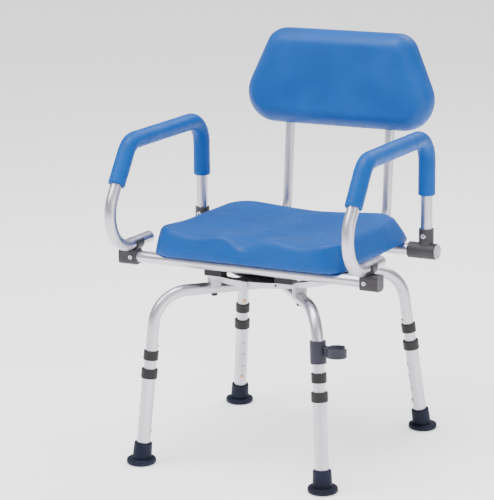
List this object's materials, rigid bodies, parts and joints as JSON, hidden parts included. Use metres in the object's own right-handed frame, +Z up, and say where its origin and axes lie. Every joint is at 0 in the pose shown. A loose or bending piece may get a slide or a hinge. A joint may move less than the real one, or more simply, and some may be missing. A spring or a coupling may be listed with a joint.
{
  "type": "swivel shower chair",
  "caption": "Padded shower chair that turns on a ring above a splayed aluminium frame, with swing-up arms, a leaning back and legs that lengthen in steps.",
  "frame": {"origin": "on the floor under the middle of the whole chair's box; the swivel axis stands 29.16 mm in front of it", "axes": "+Z up, front towards -Y, +X to the right of someone looking at the chair from the front"},
  "size_m": [0.536, 0.54, 0.7716],
  "materials": {
    "aluminium": "satin",
    "blue_foam": "matte",
    "blue_sleeve": "matte",
    "joint_plastic": "satin",
    "collar_plastic": "satin",
    "foot_rubber": "matte",
    "holder_plastic": "satin",
    "saddle_plastic": "satin",
    "black_plate": "satin",
    "glide_nylon": "satin",
    "board_plastic": "matte",
    "end_cap": "satin",
    "steel": "satin",
    "dark_steel": "satin",
    "brass": "satin"
  },
  "bodies": {
    "base": {"base_tube_main": "aluminium", "base_tube_front": "aluminium", "base_tube_rear": "aluminium", "frame_collars": "collar_plastic", "inner_leg_tube_fl": "aluminium", "inner_leg_tube_fr": "aluminium", "inner_leg_tube_rl": "aluminium", "inner_leg_tube_rr": "aluminium", "shower_holder": "holder_plastic", "swivel_hoop": "aluminium", "hoop_joint": "aluminium", "glide_ring": "glide_nylon", "ring_saddles": "saddle_plastic", "saddle_bolts": "dark_steel"},
    "seat": {"swivel_plate": "black_plate", "plate_screws": "steel", "front_rail": "aluminium", "rear_rail": "aluminium", "rail_end_caps": "end_cap", "front_clips": "joint_plastic", "post_sockets": "joint_plastic", "clip_screws": "steel", "seat_board": "board_plastic", "seat_pad": "blue_foam", "back_posts": "aluminium", "back_pad": "blue_foam", "back_board": "board_plastic", "back_screws": "steel"},
    "arm_left": {"arm_tube_left": "aluminium", "arm_sleeve_left": "blue_sleeve", "arm_tee_left": "joint_plastic", "tee_screw_left": "steel", "arm_tip_cap_left": "joint_plastic"},
    "arm_right": {"arm_tube_right": "aluminium", "arm_sleeve_right": "blue_sleeve", "arm_tee_right": "joint_plastic", "tee_screw_right": "steel", "arm_tip_cap_right": "joint_plastic"},
    "leg_fl": {"lower_leg_tube_fl": "aluminium", "leg_collar_fl": "collar_plastic", "foot_fl": "foot_rubber"},
    "frame_button_fl": {"frame_button_fl": "brass"},
    "height_button_fl": {"height_button_fl": "brass"},
    "leg_fr": {"lower_leg_tube_fr": "aluminium", "leg_collar_fr": "collar_plastic", "foot_fr": "foot_rubber"},
    "frame_button_fr": {"frame_button_fr": "brass"},
    "height_button_fr": {"height_button_fr": "brass"},
    "leg_rl": {"lower_leg_tube_rl": "aluminium", "leg_collar_rl": "collar_plastic", "foot_rl": "foot_rubber"},
    "frame_button_rl": {"frame_button_rl": "brass"},
    "height_button_rl": {"height_button_rl": "brass"},
    "leg_rr": {"lower_leg_tube_rr": "aluminium", "leg_collar_rr": "collar_plastic", "foot_rr": "foot_rubber"},
    "frame_button_rr": {"frame_button_rr": "brass"},
    "height_button_rr": {"height_button_rr": "brass"}
  },
  "joints": [
    {"name": "seat_swivel", "type": "hinge", "parent": "base", "child": "seat", "pos_m": [0, -0.02916, 0.353], "axis": [0, 0, 1], "continuous": true},
    {"name": "arm_left_lift", "type": "hinge", "parent": "seat", "child": "arm_left", "pos_m": [-0.2415, 0.10584, 0.381], "axis": [-1, 0, 0], "range_deg": [0, 100]},
    {"name": "arm_right_lift", "type": "hinge", "parent": "seat", "child": "arm_right", "pos_m": [0.2415, 0.10584, 0.381], "axis": [-1, 0, 0], "range_deg": [0, 100]},
    {"name": "leg_fl_slide", "type": "slide", "parent": "base", "child": "leg_fl", "axis": [-0.0727, -0.0816, -0.994], "range_m": [0, 0.0762], "deforming": ["height_button_fl"]},
    {"name": "leg_fr_slide", "type": "slide", "parent": "base", "child": "leg_fr", "axis": [0.0727, -0.0816, -0.994], "range_m": [0, 0.0762], "deforming": ["height_button_fr"]},
    {"name": "leg_rl_slide", "type": "slide", "parent": "base", "child": "leg_rl", "axis": [-0.1019, 0.1078, -0.9889], "range_m": [0, 0.0762], "deforming": ["height_button_rl"]},
    {"name": "leg_rr_slide", "type": "slide", "parent": "base", "child": "leg_rr", "axis": [0.1019, 0.1078, -0.9889], "range_m": [0, 0.0762], "deforming": ["height_button_rr"]},
    {"name": "height_button_fl_press", "type": "slide", "parent": "base", "child": "height_button_fl", "axis": [-0.6612, -0.7422, 0.1093], "range_m": [0, 0.0038], "stiffness_N_per_m": 300},
    {"name": "frame_button_fl_press", "type": "slide", "parent": "base", "child": "frame_button_fl", "axis": [-0.6612, -0.7422, 0.1093], "range_m": [0, 0.0038], "stiffness_N_per_m": 300},
    {"name": "height_button_fr_press", "type": "slide", "parent": "base", "child": "height_button_fr", "axis": [0.6612, -0.7422, 0.1093], "range_m": [0, 0.0038], "stiffness_N_per_m": 300},
    {"name": "frame_button_fr_press", "type": "slide", "parent": "base", "child": "frame_button_fr", "axis": [0.6612, -0.7422, 0.1093], "range_m": [0, 0.0038], "stiffness_N_per_m": 300},
    {"name": "height_button_rl_press", "type": "slide", "parent": "base", "child": "height_button_rl", "axis": [-0.6795, 0.7185, 0.1483], "range_m": [0, 0.0038], "stiffness_N_per_m": 300},
    {"name": "frame_button_rl_press", "type": "slide", "parent": "base", "child": "frame_button_rl", "axis": [-0.6795, 0.7185, 0.1483], "range_m": [0, 0.0038], "stiffness_N_per_m": 300},
    {"name": "height_button_rr_press", "type": "slide", "parent": "base", "child": "height_button_rr", "axis": [0.6795, 0.7185, 0.1483], "range_m": [0, 0.0038], "stiffness_N_per_m": 300},
    {"name": "frame_button_rr_press", "type": "slide", "parent": "base", "child": "frame_button_rr", "axis": [0.6795, 0.7185, 0.1483], "range_m": [0, 0.0038], "stiffness_N_per_m": 300}
  ]
}
